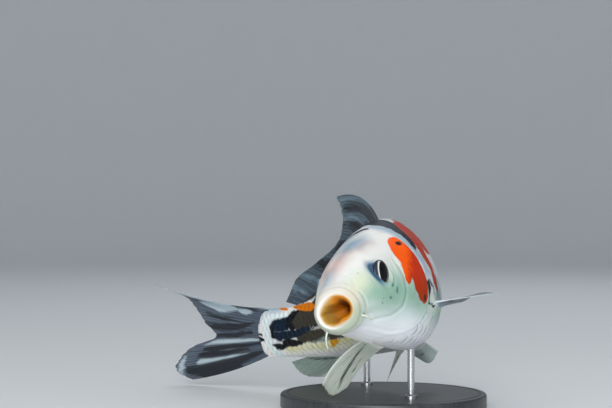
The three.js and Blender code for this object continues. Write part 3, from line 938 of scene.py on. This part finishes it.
# Strokes on a fin: (along the root, outward, radius in mm)
finMarks = {
    "dorsal_fin": {
        "streak": [[(0.08, 0.05, 1.0), (0.1, 0.9, 0.8)], [(0.22, 0.1, 1.0), (0.24, 0.9, 0.8)],
                   [(0.4, 0.05, 2.4), (0.42, 0.8, 1.6)], [(0.56, 0.05, 2.0), (0.58, 0.9, 1.4)]],
        "light": [[(0.0, 0.3, 0.4), (0.04, 1.0, 1.0), (0.16, 1.0, 0.6)],
                  [(0.16, 0.3, 0.5), (0.18, 0.95, 0.7)],
                  [(0.72, 0.3, 0.5), (0.74, 0.95, 0.8)], [(0.86, 0.3, 0.4), (0.87, 0.95, 0.7)]],
    },
    "anal_fin": {
        "streak": [[(0.3, 0.12, 0.5), (0.6, 0.2, 0.6), (0.85, 0.35, 0.5)]],
        "light": [[(0.0, 0.0, 1.2), (0.05, 1.0, 1.0)], [(0.2, 0.0, 1.4), (0.9, 0.0, 1.0)]],
    },
    "caudal_fin": {
        "streak": [[(0.0, 0.2, 0.4), (0.0, 0.12, 1.2), (0.03, 0.03, 1.2)],
                   [(0.3, 0.1, 0.8), (0.38, 0.35, 1.8), (0.41, 0.6, 1.8), (0.42, 0.95, 1.2)],
                   [(0.47, 0.2, 1.0), (0.49, 0.5, 1.6), (0.49, 0.95, 0.9)],
                   [(0.32, 0.3, 0.5), (0.31, 0.62, 1.2), (0.28, 0.85, 0.8)],
                   [(0.69, -0.02, 1.0), (0.68, 0.35, 1.6), (0.67, 0.75, 1.3)],
                   [(0.77, 0.2, 1.6), (0.74, 0.5, 1.9), (0.73, 0.76, 1.2)],
                   [(0.86, 0.02, 1.4), (0.89, 0.27, 2.6), (0.9, 0.56, 3.0), (0.9, 0.85, 2.4)],
                   [(0.97, 0.3, 1.2), (0.97, 0.8, 1.8)]],
        "light": [[(0.05, 0.27, 1.6), (0.08, 0.42, 3.4), (0.13, 0.6, 3.4), (0.14, 0.75, 1.2)],
                  [(0.07, 0.12, 1.8), (0.1, 0.2, 2.4)],
                  [(0.0, 0.3, 1.6), (0.0, 0.6, 1.2), (0.01, 0.98, 1.0)],
                  [(0.62, 0.06, 0.8), (0.6, 0.42, 1.3), (0.58, 0.83, 1.5)],
                  [(0.79, 0.21, 1.3), (0.815, 0.43, 1.1), (0.81, 0.72, 1.4)],
                  [(0.74, 0.95, 0.8), (0.83, 0.93, 1.4), (0.9, 0.98, 0.8)]],
    },
    "pectoral_fin_left": {
        "streak": [[(0.1, 0.28, 0.8), (0.5, 0.3, 1.2), (0.75, 0.5, 0.6)],
                   [(0.3, 0.5, 0.5), (0.5, 0.95, 0.4)]],
        "light": [[(0.0, 0.0, 1.2), (0.0, 1.0, 1.0)], [(0.9, 0.1, 1.4), (1.0, 0.7, 1.4)],
                  [(0.0, 0.02, 1.6), (1.0, 0.02, 1.6)]],
    },
    "pectoral_fin_right": {
        "streak": [[(0.28, 0.12, 0.5), (0.43, 0.38, 0.9), (0.5, 0.6, 1.3), (0.62, 0.88, 0.7)],
                   [(0.68, 0.35, 0.4), (0.78, 0.6, 0.5)]],
        "light": [[(0.0, 0.0, 1.4), (0.02, 1.0, 1.0)], [(0.2, 0.02, 2.0), (0.9, 0.02, 2.0)]],
    },
    "pelvic_fin_left": {
        "streak": [[(0.5, 0.45, 0.5), (0.7, 0.55, 0.6)]],
        "light": [[(0.0, 0.0, 1.4), (0.0, 1.0, 1.0)], [(0.2, 0.06, 2.4), (0.9, 0.1, 2.4)]],
    },
    "pelvic_fin_right": {
        "streak": [[(0.4, 0.2, 0.7), (0.8, 0.45, 0.5)], [(0.2, 0.5, 0.4), (0.8, 0.8, 0.4)]],
        "light": [[(0.0, 0.0, 1.2), (0.0, 1.0, 0.8)], [(0.1, 0.02, 1.6), (0.9, 0.02, 1.4)]],
    },
}


def makeEye(side, look):
    bm = bmesh.new()
    bmesh.ops.create_uvsphere(bm, u_segments=64, v_segments=40, radius=1)
    local = np.array([vert.co for vert in bm.verts])
    across, upward, out = local.T
    flatRadius = np.hypot(across, upward)
    # the clear front stands out over the pupil
    clear = eye["clearRise"] * hump(flatRadius, 0, eye["clearSpread"])
    depth = out * eye["depth"] + np.where(out > 0, clear, 0)
    tilt, turn = math.radians(eye["upTurn"]), math.radians(eye["forwardTurn"])
    x, y = across * eye["long"], upward * eye["high"]
    y, z = y * math.cos(tilt) + depth * math.sin(tilt), depth * math.cos(tilt) - y * math.sin(tilt)
    x, z = x * math.cos(turn) - z * math.sin(turn), z * math.cos(turn) + x * math.sin(turn)
    inset = eye["rightInset"] if side < 0 else 0
    points = place(eye["s"] + x, side * (eye["left"] + z) + inset, eye["up"] + y)
    settle(bm, points, {"eyePlace": np.stack([across * side, upward, out], -1)})
    bakeMap(bm, 0.25 + across * 0.24 + np.where(out < 0, 0.5, 0), 0.5 + upward * 0.48)
    bmesh.ops.recalc_face_normals(bm, faces=bm.faces)
    name = "eye_left" if side > 0 else "eye_right"
    print("koi:", name)
    return finish(name + "_ball", bm, look, "eye", (name,))


barbels = {
    "barbel_left": [(-0.4, 8.6, -9), (1.0, 10.1, -10.3), (2.8, 10.7, -11.8)],
    "barbel_right": [(-2, -6, -10), (-3, -7.6, -13.4), (-2, -8.6, -17.2)],
    "upper_barbel_left": [(0.6, 8.0, 1.9), (1.3, 9.6, 0.3), (2.0, 10.6, -1.8)],
    "upper_barbel_right": [(0.6, -8.0, 1.9), (1.3, -9.4, 0.3), (2.0, -10.2, -1.8)],
}
barbelMaking = {"around": 20, "along": 40, "root": 0.56, "tip": 0.2, "ringed": 0.03, "upperShare": 0.6,
                "footBack": 0.8, "footShare": 0.72}


def makeBarbel(name, route, look):
    bm, u, v, _ = gridSheet(barbelMaking["along"], barbelMaking["around"])
    # the foot is sunk in the skin, toward the middle of the mouth
    (s, left, up), share, mouthUp = route[0], barbelMaking["footShare"], skin["lips"][0][2]
    route = [(s + barbelMaking["footBack"], left * share, (up - mouthUp) * share + mouthUp)] + route
    centre = along(route, u)
    here, there = place(*centre.T), place(*along(route, np.minimum(u + 0.02, 1)).T)
    behind = place(*along(route, np.maximum(u - 0.02, 0)).T)
    axis = there - behind
    axis /= np.linalg.norm(axis, axis=1, keepdims=True)
    sideways = np.cross(axis, (0.3, 0.2, 0.9))
    sideways /= np.linalg.norm(sideways, axis=1, keepdims=True)
    upward = np.cross(axis, sideways)
    ends = np.sqrt(np.clip(1 - ((u - 0.94) / 0.06).clip(0, 1) ** 2, 0, 1)) * np.where(u < 0.001, 0, 1)
    radius = (barbelMaking["root"] + (barbelMaking["tip"] - barbelMaking["root"]) * u) * ends
    radius = radius * (1 + barbelMaking["ringed"] * np.sin(u * 90))
    if name.startswith("upper"):
        radius = radius * barbelMaking["upperShare"]
    turn = v[:, None] * 2 * math.pi
    points = here + (sideways * np.cos(turn) + upward * np.sin(turn)) * radius[:, None] * mm
    settle(bm, points, {"flat": centre}, {"barbelAlong": u})
    bakeMap(bm, u, v)
    bmesh.ops.remove_doubles(bm, verts=bm.verts, dist=0.002 * mm)
    bmesh.ops.recalc_face_normals(bm, faces=bm.faces)
    print("koi:", name)
    return finish(name + "_feeler", bm, look, "barbel", (name,))


stand = {
    "radius": 44, "thickness": 6, "roundedEdge": 1.0, "bead": 0.35, "sharpAngle": 40,
    "rods": {"front": 68, "rear": 126}, "rodRadius": 1.5, "plug": 4, "socket": 2.6,
    "collarRadius": 2.6, "collarHeight": 1.6, "collarEdge": 0.3, "rodEdge": 0.2, "clearance": 0.02,
}


# A round solid turned about an upright axis at (x, y), from a profile of (radius, height) in mm
def turnedSolid(x, y, profile, steps):
    bm = bmesh.new()
    verts = [bm.verts.new((radius * mm, 0, height * mm)) for radius, height in profile]
    edges = [bm.edges.new(pair) for pair in zip(verts, verts[1:])]
    bmesh.ops.spin(bm, geom=verts + edges, axis=(0, 0, 1), cent=(0, 0, 0), angle=2 * math.pi,
                   steps=steps, use_merge=True)
    bmesh.ops.remove_doubles(bm, verts=bm.verts, dist=0.001 * mm)
    bmesh.ops.recalc_face_normals(bm, faces=bm.faces)
    bmesh.ops.translate(bm, verts=bm.verts, vec=(x, y, 0))
    return bm


def finishTurned(node, ending, bm, look, slot):
    piece = finish(f"{node}_{ending}", bm, look, slot, (node,))
    piece.data.set_sharp_from_angle(angle=math.radians(stand["sharpAngle"]))


def makeStand(wood, steel):
    radius, floorZ, edge, bead = (stand[key] for key in ("radius", "thickness", "roundedEdge", "bead"))
    rim = [(radius - edge + edge * math.sin(a), floorZ - edge + edge * math.cos(a))
           for a in np.radians(np.arange(0, 91, 15))]
    foot = [(radius, 0.6), (radius - 0.15, 0.2), (radius - 0.6, 0), (0, 0)]
    groove = [(radius - inward, floorZ - drop)
              for inward, drop in ((3.4, 0), (3.1, bead), (2.7, bead), (2.4, 0))]
    base = turnedSolid(0, 0, [(0, floorZ), (20, floorZ)] + groove + rim + foot, 128)
    finishTurned("stand_base", "disc", base, wood, "stand_base")
    r, collar, collarTop = stand["rodRadius"], stand["collarRadius"], floorZ + stand["collarHeight"]
    gap, bottom = floorZ + stand["clearance"], floorZ - stand["socket"]
    for name, s in stand["rods"].items():
        x, y, z = (float(part) for part in place(s, 0, between(fish["sections"], s)[2]))
        topZ = z / mm + stand["plug"]
        profile = [(0, topZ), (r, topZ), (r, collarTop + stand["rodEdge"]),
                   (r + stand["rodEdge"], collarTop), (collar - stand["collarEdge"], collarTop),
                   (collar, collarTop - stand["collarEdge"]), (collar, gap), (r, gap),
                   (r, bottom), (0, bottom)]
        finishTurned(f"stand_rod_{name}", "turned", turnedSolid(x, y, profile, 48), steel, "stand_rod")
    print("koi: stand")


white = tone(224, 223, 219)
inks = {
    # the lowest orange tone is darker, as painted shade of the underside
    "orangeHigh": tone(250, 92, 0), "orangeRear": tone(192, 48, 10), "orangeShadedLow": tone(156, 48, 6),
    "orangeTail": tone(214, 116, 6), "ink": tone(22, 26, 34), "nostril": tone(196, 180, 156),
    "umber": tone(56, 52, 42), "slate": tone(12, 28, 46), "black": tone(12, 15, 20),
    "gold": tone(206, 146, 8), "pale": tone(212, 224, 224), "speck": tone(96, 128, 122),
    "mottleDark": tone(46, 56, 50), "mottlePale": tone(146, 166, 160),
}


def skinLook():
    look = Look("koi_skin")
    flat = look.vector("flat")
    s, left, up = look.parts(flat)
    rim, throat, halo = look.number("rim"), look.number("throat"), look.number("halo")
    wander = look.noise(flat, 0.42, 3)
    fine = look.noise(flat, 2.4, 4)
    cloud = look.noise(flat, 0.09, 2)
    # the edges of the big patches of the flanks wander further
    ragged = (look.noise(flat, 0.16, 3) - 0.5) * 13 * s.above(66, 80) * (1 - s.above(116, 128))
    colour = look.mix(cloud.above(0.35, 0.7) * 0.35, white, tone(222, 226, 228))
    for name, tint in tints.items():
        field = look.number(name) + (cloud - 0.5) * 6
        share = field.above(-tint["soft"], tint["soft"]) * tint["share"]
        colour = look.mix(share, colour, tint["colour"])

    def mask(name):
        mark = marks[name]
        field = look.number(name) + (wander - 0.5) * (2 * mark["wobble"]) + (fine - 0.5) * 0.25 + ragged
        return field.above(-mark["soft"] / 2, mark["soft"] / 2)

    # a scale's free rim is a little clearer
    colour = look.mix(rim.above(0.55, 1.2) * 0.12, colour, tone(238, 240, 242))
    speckled = (wander + rim * 0.12 + (fine - 0.5) * 0.8).above(0.35, 0.7)
    grey = look.mix(speckled, inks["mottleDark"], inks["mottlePale"])
    colour = look.mix(mask("mottle"), colour, grey)
    # painted shade: the orange turns deeper and darker toward the belly
    orange = look.mix((up + (wander - 0.5) * 6).above(-9, 5), inks["orangeShadedLow"], inks["orangeRear"])
    orange = look.mix((up - (s - 41) + (wander - 0.5) * 8).above(5, 13), orange, inks["orangeHigh"])
    orange = look.mix(s.above(100, 130), orange, inks["orangeTail"])
    for name in ("umber", "slate", "black"):
        ink = look.mix(fine.above(0.5, 0.8) * 0.2, inks[name], tone(84, 98, 106))
        ink = look.mix(rim.above(0.55, 1.2) * 0.04, ink, tone(180, 190, 196))
        colour = look.mix(mask(name), colour, ink)
    colour = look.mix(mask("orange"), colour, orange)
    for name in ("ink", "gold", "pale", "speck", "nostril"):
        colour = look.mix(mask(name), colour, inks[name])
    colour = look.mix((halo + (fine - 0.5) * 0.3 * halo).limited() * 0.9, colour, tone(58, 106, 144))
    colour = look.mix(halo.above(0.75, 1.0) * 0.6, colour, tone(34, 54, 82))
    # lips are cream, the mouth tan and then brown inside; its darkening deep in and toward its left is
    # painted shade of the cavity
    lips = (0 - s).above(-2.5, 2.5) * (1 - throat.above(0.1, 2))
    lipTone = look.mix((up + (wander - 0.5) * 3).above(-7, 0), tone(146, 158, 132), tone(198, 188, 168))
    colour = look.mix(lips * (0.75 - up.above(-1, 3) * 0.4), colour, lipTone)
    inside = left + (wander - 0.5) * 3
    tan = throat.above(0.1, 1.8) * (throat + inside * 0.3).above(0.2, 3.4)
    brown = (throat * 0.5 + inside).above(-1, 4) * throat.above(0.8, 2.6)
    # painted shade deep in the mouth, strongest on its left
    dark = (throat * 0.4 + inside + (up + 4) * 0.3).above(3, 7) * throat.above(1.6, 4)
    for share, ink in ((tan, tone(182, 144, 66)), (brown, tone(184, 112, 24)), (dark, tone(82, 34, 3))):
        colour = look.mix(share, colour, ink)
    pores = look.cells(flat, 1.6)
    height = fine * 0.5 + look.noise(flat, 7, 2) * 0.2 + pores * 0.3
    normal = look.bump(height, 0.25, 0.12 * mm)
    rough = 0.4 + (cloud - 0.5) * 0.1 + (fine - 0.5) * 0.14
    return look.surface(colour, rough, normal, {
        "Subsurface Weight": 0.12, "Subsurface Radius": (1.0, 0.6, 0.4), "Subsurface Scale": 1.0 * mm,
        "Coat Weight": 0.03, "Coat Roughness": 0.25, "Specular IOR Level": 0.09,
    })


# Tones of the web, the rays and the light streaks, then how smoky and how solid each fin is
finPalettes = {
    "dorsal_fin": ((52, 66, 78), (96, 114, 124), (108, 132, 146), 0.6, 0.78),
    "anal_fin": ((112, 134, 126), (142, 156, 144), (196, 206, 196), 0.35, 0.66),
    "caudal_fin": ((66, 78, 92), (102, 112, 124), (166, 182, 190), 0.6, 0.86),
    "pectoral_fin_left": ((112, 126, 138), (146, 156, 168), (216, 224, 228), 0.4, 0.72),
    "pectoral_fin_right": ((172, 182, 172), (196, 202, 192), (218, 222, 214), 0.35, 0.78),
    "pelvic_fin_left": ((178, 198, 194), (206, 220, 214), (226, 234, 230), 0.2, 0.72),
    "pelvic_fin_right": ((190, 204, 192), (214, 222, 210), (226, 230, 220), 0.2, 0.8),
}


def finLook(name):
    *tones, smoke, solidness = finPalettes[name]
    webTone, rayTone, lightTone = (tone(*parts) for parts in tones)
    look = Look("koi_" + name)
    at = look.vector("finPlace")
    _, v, _ = look.parts(at)
    ray, streak, light = look.number("ray"), look.number("streak"), look.number("light")
    grain = look.noise(look.stretched(at, (46, 3, 0)), 1.0, 4)
    cloud = look.noise(look.stretched(at, (9, 4, 0)), 1.0, 3)
    colour = look.mix(ray.above(0.2, 0.9) * 0.45, webTone, rayTone)
    smoky = (grain + (cloud - 0.5) * 0.6).above(0.48, 0.75) * smoke
    colour = look.mix(smoky, colour, tone(58, 66, 80))
    pale = (light + (grain - 0.5) * 3.2 + (cloud - 0.5) * 1.4).above(-0.9, 1.0)
    dark = (streak + (grain - 0.5) * 4.2 + (cloud - 0.5) * 1.6).above(-0.7, 0.8)
    colour = look.mix(pale * 0.92, colour, lightTone)
    colour = look.mix(dark * 0.9, colour, tone(22, 25, 31))
    solid = ray.above(0.1, 0.8) * 0.2 + (solidness + 0.02) + dark * 0.2 + pale * 0.1
    solid = (solid + (0.25 - v).above(0, 0.25) * 0.4 - v.above(0.8, 1) * 0.14).limited()
    segments = look.node("ShaderNodeTexWave", {"wave_type": "BANDS", "bands_direction": "Y"},
                         {"Vector": look.stretched(at, (0, 9, 0)), "Scale": 1.0})
    normal = look.bump(segments * ray * 0.4 + grain * 0.6, 0.25, 0.12 * mm)
    return look.surface(colour, 0.4 + (grain - 0.5) * 0.2, normal, {
        "Alpha": solid, "Subsurface Weight": 0.4, "Subsurface Radius": (1.0, 0.9, 0.8),
        "Subsurface Scale": 0.8 * mm, "Coat Weight": 0.06, "Coat Roughness": 0.25,
        "Specular IOR Level": 0.3,
    })


def eyeLook():
    look = Look("koi_eye")
    at = look.vector("eyePlace")
    across, upward, _ = look.parts(at)      # across runs toward the tail
    grain = look.noise(at, 8, 4)
    # an upright pupil, a cream crescent along its front and a reddish rim behind it
    pupilAcross = ((across + 0.02) * 0.98 - upward * 0.2) / 0.57
    pupilUp = ((across + 0.02) * 0.2 + upward * 0.98) / 0.84
    pupil = (pupilAcross * pupilAcross + pupilUp * pupilUp) ** 0.5
    radius = (across * across + upward * upward) ** 0.5
    front = (upward * 0.4 - across) / (radius + 0.05)
    rear = (across - upward * 0.15 + (grain - 0.5) * 0.3).above(0.1, 0.5)
    colour = look.mix(rear, tone(38, 46, 60), tone(128, 98, 92))
    ring = (1 - pupil.above(1.06, 1.3)) * (front + (grain - 0.5) * 0.5).above(0.1, 0.8)
    colour = look.mix(ring, colour, tone(226, 226, 214))
    colour = look.mix((grain - 0.5).above(0.05, 0.25) * 0.35, colour, tone(84, 74, 62))
    colour = look.mix(1 - pupil.above(0.97, 1.03), colour, tone(9, 10, 14))
    colour = look.mix(radius.above(0.88, 0.96), colour, tone(34, 44, 58))
    normal = look.bump(grain, 0.03, 0.1 * mm)
    return look.surface(colour, 0.14 + grain * 0.1, normal, {
        "Coat Weight": 0.12, "Coat Roughness": 0.04, "Specular IOR Level": 0.2,
    })


def barbelLook():
    look = Look("koi_barbel")
    flat, run = look.vector("flat"), look.number("barbelAlong")
    grain = look.noise(flat, 1.5, 3)
    colour = look.mix(run.above(0.2, 1), tone(208, 212, 194), tone(194, 200, 182))
    colour = look.mix((grain - 0.5).above(0.05, 0.3) * 0.4, colour, tone(168, 170, 156))
    normal = look.bump(grain, 0.3, 0.1 * mm)
    return look.surface(colour, 0.34 + (grain - 0.5) * 0.2, normal, {
        "Subsurface Weight": 0.2, "Subsurface Scale": 0.8 * mm, "Coat Weight": 0.2,
    })


def woodLook():
    look = Look("stand_stained_wood")
    at = look.node("ShaderNodeTexCoord", output="Object")
    grain = look.noise(look.stretched(at, (60, 900, 200)), 1.0, 6, 0.6, 0.6)
    rings = look.noise(look.stretched(at, (9, 70, 30)), 1.0, 3)
    pores = look.noise(look.stretched(at, (300, 3200, 900)), 1.0, 2)
    colour = look.mix(grain.above(0.3, 0.75), tone(34, 36, 40), tone(62, 64, 68))
    colour = look.mix(rings.above(0.45, 0.7) * 0.35, colour, tone(24, 25, 28))
    colour = look.mix(pores.above(0.62, 0.75) * 0.4, colour, tone(14, 14, 16))
    normal = look.bump(grain * 0.6 + pores * 0.4, 0.2, 0.15 * mm)
    rough = 0.42 + (grain - 0.5) * 0.2
    return look.surface(colour, rough, normal, {"Coat Weight": 0.15, "Coat Roughness": 0.3})


def steelLook():
    look = Look("stand_brushed_steel")
    at = look.node("ShaderNodeTexCoord", output="Object")
    brush = look.noise(look.stretched(at, (900, 900, 9000)), 1.0, 3)
    smudge = look.noise(look.stretched(at, (90, 90, 60)), 1.0, 2)
    colour = look.mix(brush.above(0.3, 0.7), tone(176, 179, 182), tone(206, 208, 210))
    normal = look.bump(brush, 0.15, 0.05 * mm)
    return look.surface(colour, 0.26 + (smudge - 0.5) * 0.2, normal, {"Metallic": 1.0})


def floorLook():
    look = Look("studio_floor")
    at = look.node("ShaderNodeTexCoord", output="Object")
    grain = look.noise(at, 40, 3)
    colour = look.mix(grain * 0.3, tone(232, 234, 236), tone(224, 226, 229))
    return look.surface(colour, 0.6)


studio = {
    "cameraAt": (-0.033, -0.706, 0.0865), "focal": 97.18, "sensor": 36, "clip": (0.01, 20),
    "floorRadius": 1.7, "curve": 0.9, "wall": 1.4,
    "sky": tone(214, 222, 228), "skyStrength": 0.5,
    "lamps": [      # place, aimed at, size, watts, colour
        ((-0.65, -0.75, 0.95), (0, -0.02, 0.06), 0.8, 4.4, (1.0, 0.98, 0.95)),
        ((0.85, -0.7, 0.55), (0, 0, 0.06), 0.9, 2.5, (0.93, 0.97, 1.0)),
        ((-0.1, -0.95, 0.27), (0, 0, 0.05), 0.5, 7.2, (1.0, 1.0, 1.0)),
        ((0.25, 0.9, 0.9), (0, 0, 0.07), 0.6, 1.8, (0.95, 0.98, 1.0)),
    ],
}


def makeStudio():
    scene = bpy.context.scene
    camera = bpy.data.cameras.new("camera")
    camera.lens, camera.sensor_width = studio["focal"], studio["sensor"]
    camera.clip_start, camera.clip_end = studio["clip"]
    seen = bpy.data.objects.new("camera", camera)
    seen.location = studio["cameraAt"]
    seen.rotation_euler = (math.pi / 2, 0, 0)
    scene.collection.objects.link(seen)
    scene.camera = seen
    bend, radius = studio["curve"], studio["floorRadius"]
    profile = [(0, 0), (radius, 0)]
    profile += [(radius + bend * math.sin(a), bend * (1 - math.cos(a)))
                for a in np.radians(np.arange(7.5, 91, 7.5))]
    profile += [(radius + bend, bend + studio["wall"])]
    bm = turnedSolid(0, 0, [(out / mm, height / mm) for out, height in profile], 96)
    for face in bm.faces:
        if face.normal.z < 0:
            face.normal_flip()
    backdrop = finish("backdrop", bm, floorLook(), None)
    for k, (at, aim, size, watts, colour) in enumerate(studio["lamps"]):
        lamp = bpy.data.lights.new(f"lamp_{k}", "AREA")
        lamp.energy, lamp.size, lamp.color = watts, size, colour
        held = bpy.data.objects.new(f"lamp_{k}", lamp)
        held.location = at
        toward = [b - a for a, b in zip(at, aim)]
        held.rotation_euler = (math.atan2(math.hypot(toward[0], toward[1]), -toward[2]), 0,
                               math.atan2(toward[1], toward[0]) - math.pi / 2)
        scene.collection.objects.link(held)
    world = bpy.data.worlds.new("studio")
    world.use_nodes = True
    sky = world.node_tree.nodes["Background"].inputs
    sky["Color"].default_value, sky["Strength"].default_value = studio["sky"], studio["skyStrength"]
    scene.world = world
    scene.view_settings.view_transform = "Standard"
    print("koi: studio")


makeStudio()
koiLook = skinLook()
makeSkin(koiLook)
makeScales(koiLook)
for finName, finShape in fins.items():
    makeFin(finName, finShape, finLook(finName))
eyeMaterial = eyeLook()
for eyeSide in (1, -1):
    makeEye(eyeSide, eyeMaterial)
feelerLook = barbelLook()
for barbelName, barbelRoute in barbels.items():
    makeBarbel(barbelName, barbelRoute, feelerLook)
makeStand(woodLook(), steelLook())
